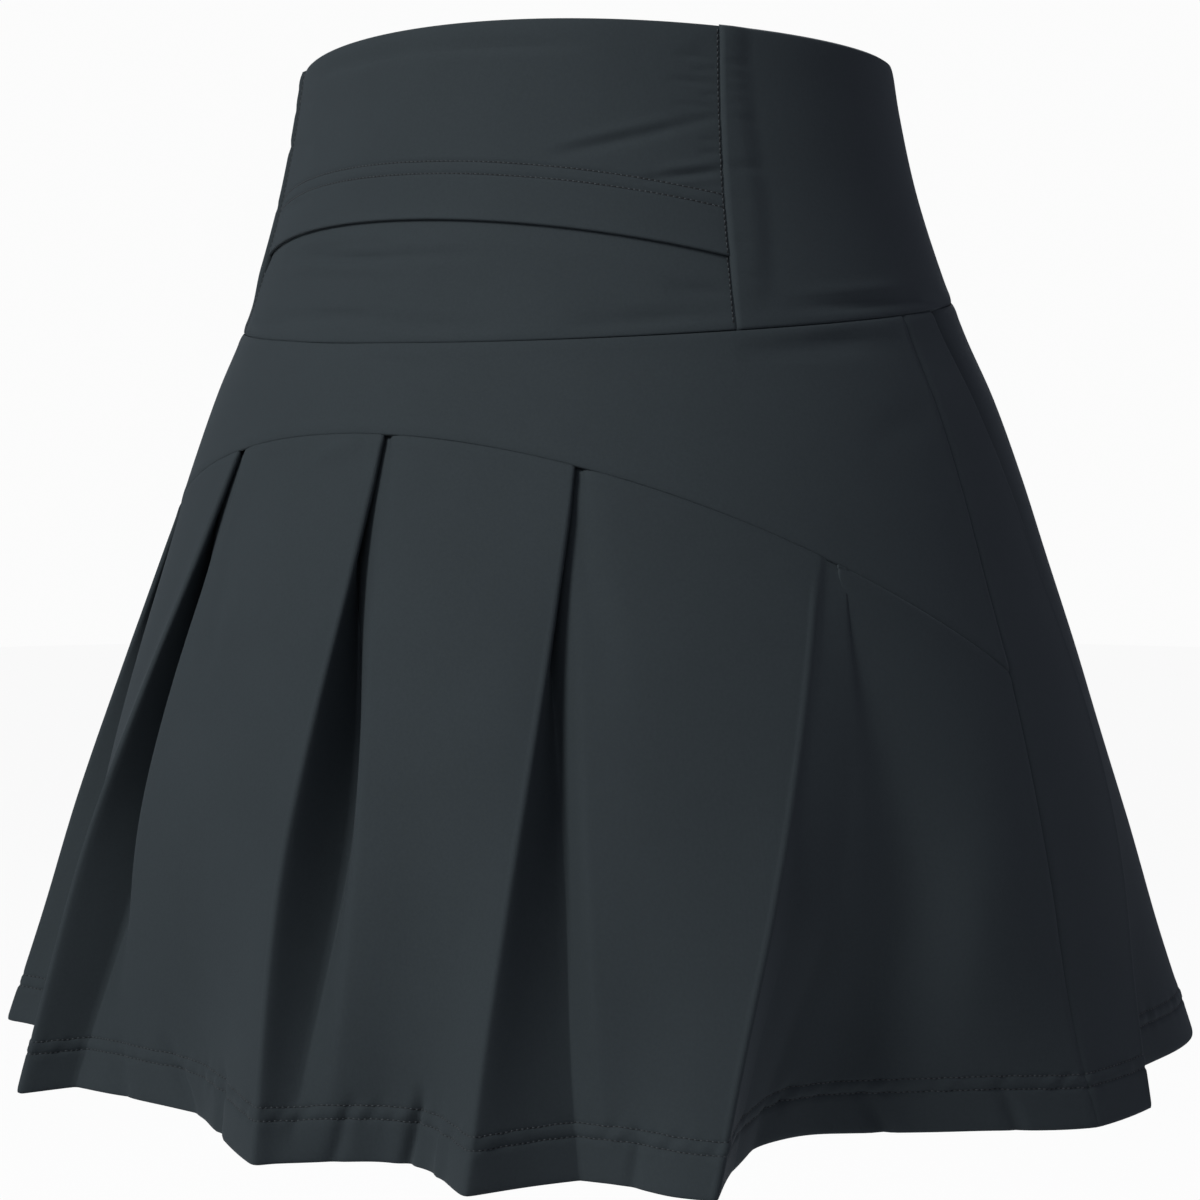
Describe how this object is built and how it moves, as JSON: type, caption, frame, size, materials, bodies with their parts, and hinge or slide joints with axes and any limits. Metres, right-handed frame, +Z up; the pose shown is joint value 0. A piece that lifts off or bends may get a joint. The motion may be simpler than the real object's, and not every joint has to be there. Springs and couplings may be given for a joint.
{
  "type": "tennis skort",
  "caption": "High-waisted pleated tennis skort in its worn form, hollow, with a back pocket in the waistband and inner shorts.",
  "frame": {"origin": "middle of the waist opening, where the wearer's waist holds the garment up", "axes": "+Z up along the wearer's body, the wearer faces -Y and their right side is at -X"},
  "size_m": [0.4819, 0.4558, 0.4064],
  "materials": {
    "band_knit": "matte fine double knit, charcoal slate",
    "skirt_knit": "matte fine stretch knit, charcoal slate",
    "shorts_knit": "matte stretch knit, charcoal slate"
  },
  "bodies": {
    "root": {"waistband_back": "band_knit", "waistband_pocket": "band_knit", "waistband_front": "band_knit", "yoke_back": "skirt_knit", "skirt_back": "skirt_knit", "skirt_front": "skirt_knit", "shorts_right": "shorts_knit", "shorts_left": "shorts_knit"}
  },
  "joints": []
}
